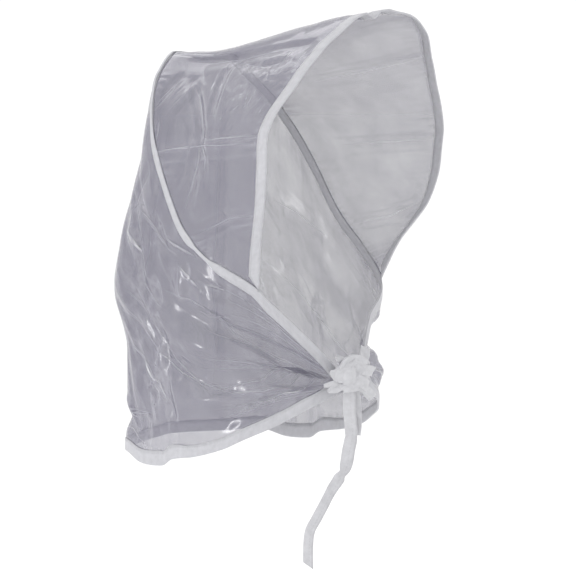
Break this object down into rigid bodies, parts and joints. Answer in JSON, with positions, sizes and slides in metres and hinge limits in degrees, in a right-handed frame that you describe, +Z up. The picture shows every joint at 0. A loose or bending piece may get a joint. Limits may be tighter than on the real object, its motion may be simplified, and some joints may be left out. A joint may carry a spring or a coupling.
{
  "type": "rain bonnet",
  "caption": "Rain bonnet of clear film with a deep visor and a hood that falls over the neck, edged with white tape and tied under the chin.",
  "frame": {"origin": "underside of the crown film in the middle plane, where the bonnet bears on the top of the head", "axes": "+Z up, -Y the way the face looks, +X the wearer's left"},
  "size_m": [0.2048, 0.2599, 0.4333],
  "materials": {
    "clear_film": "clear soft vinyl film with packing creases",
    "binding_tape": "white woven binding tape, lightly ribbed",
    "tie_tape": "white woven tape, folded double and knotted"
  },
  "bodies": {
    "root": {"hood_film": "clear_film", "visor_film": "clear_film", "seam_binding": "binding_tape", "hem_binding": "binding_tape", "visor_edge_binding": "binding_tape", "tie_knot": "tie_tape", "tie_end": "tie_tape"}
  },
  "joints": []
}
